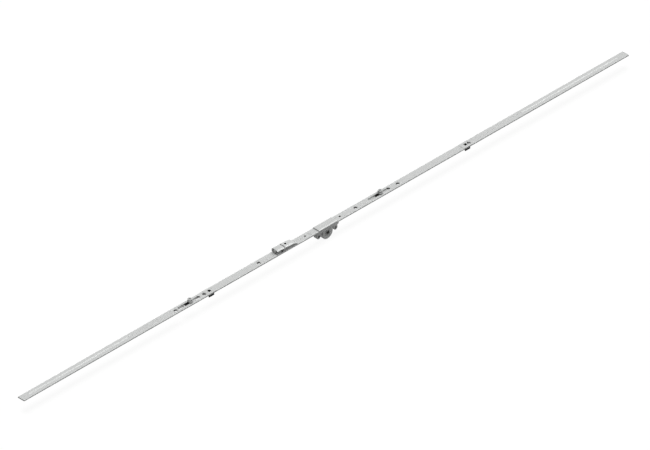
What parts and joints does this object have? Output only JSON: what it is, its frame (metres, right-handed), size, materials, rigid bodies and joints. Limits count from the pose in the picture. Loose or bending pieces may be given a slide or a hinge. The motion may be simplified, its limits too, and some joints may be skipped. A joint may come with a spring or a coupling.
{
  "type": "window espagnolette",
  "caption": "Long flat window lock strip with a round gearbox, sliding rod, two roller cams and a sash lifter.",
  "frame": {"origin": "centre of the square spindle hole in the gearbox, in the casing's middle plane", "axes": "+X along the faceplate, away from the sash lifter; +Z out of the faceplate, where the cams stand; the spindle lies along Y, with the casing's front face towards -Y"},
  "size_m": [1.54, 0.016, 0.0375],
  "materials": {
    "plate_zinc": "satin zinc plating",
    "rod_zinc": "dull zinc plating",
    "casing_zinc": "matt die cast grey",
    "pinion_steel": "sintered steel",
    "cam_steel": "bright turned steel",
    "pin_steel": "bright steel",
    "dark_steel": "blackened steel",
    "black_plastic": "moulded black",
    "lifter_zinc": "die cast, zinc plated"
  },
  "bodies": {
    "frame": {"faceplate": "plate_zinc", "gear_casing_front": "casing_zinc", "gear_casing_back": "casing_zinc", "casing_rivets": "dark_steel", "casing_fixing_rivets": "pin_steel", "guide_clip_left": "black_plastic", "guide_clip_right": "black_plastic", "lifter_housing": "lifter_zinc", "lifter_rivets": "pin_steel", "lifter_pivot_pin": "pin_steel", "lifter_spring": "pin_steel"},
    "drive_rod": {"rack_bar": "rod_zinc", "drive_rod_left": "rod_zinc", "drive_rod_right": "rod_zinc", "cam_washer_left": "pin_steel", "cam_washer_right": "pin_steel", "cam_plug_left": "black_plastic", "cam_plug_right": "black_plastic"},
    "follower": {"follower_pinion": "pinion_steel"},
    "cam_left": {"cam_bolt_left": "cam_steel"},
    "cam_right": {"cam_bolt_right": "cam_steel"},
    "cam_roller_left": {"cam_roller_left": "cam_steel"},
    "cam_roller_right": {"cam_roller_right": "cam_steel"},
    "lifter_lever": {"lifter_lever": "lifter_zinc", "lifter_roller_pin": "pin_steel"},
    "lifter_roller": {"lifter_roller": "cam_steel"}
  },
  "joints": [
    {"name": "drive_rod_slide", "type": "slide", "parent": "frame", "child": "drive_rod", "axis": [1, 0, 0], "range_m": [-0.018, 0.018]},
    {"name": "follower_turn", "type": "hinge", "parent": "frame", "child": "follower", "pos_m": [0, 0, 0], "axis": [0, 1, 0], "range_deg": [-90, 90]},
    {"name": "lifter_press", "type": "hinge", "parent": "frame", "child": "lifter_lever", "pos_m": [-0.1083, 0, 0.0189], "axis": [0, 1, 0], "range_deg": [-2.5, 0], "stiffness_Nm_per_rad": 1, "springref_deg": 8.59, "deforming": ["lifter_spring"]},
    {"name": "lifter_roller_spin", "type": "hinge", "parent": "lifter_lever", "child": "lifter_roller", "pos_m": [-0.1272, 0, 0.0202], "axis": [0, 0, 1], "continuous": true},
    {"name": "cam_left_adjust", "type": "hinge", "parent": "drive_rod", "child": "cam_left", "pos_m": [-0.3444, 0, 0.015], "axis": [0, 0, 1], "range_deg": [-90, 90]},
    {"name": "cam_left_roller_spin", "type": "hinge", "parent": "cam_left", "child": "cam_roller_left", "pos_m": [-0.3436, 0, 0.0176], "axis": [0, 0, 1], "continuous": true},
    {"name": "cam_right_adjust", "type": "hinge", "parent": "drive_rod", "child": "cam_right", "pos_m": [0.1383, 0, 0.015], "axis": [0, 0, 1], "range_deg": [-90, 90]},
    {"name": "cam_right_roller_spin", "type": "hinge", "parent": "cam_right", "child": "cam_roller_right", "pos_m": [0.1391, 0, 0.0176], "axis": [0, 0, 1], "continuous": true}
  ],
  "couplings": [
    {"joint": "follower_turn", "follows": "drive_rod_slide", "rad_per_m": 87.26}
  ]
}
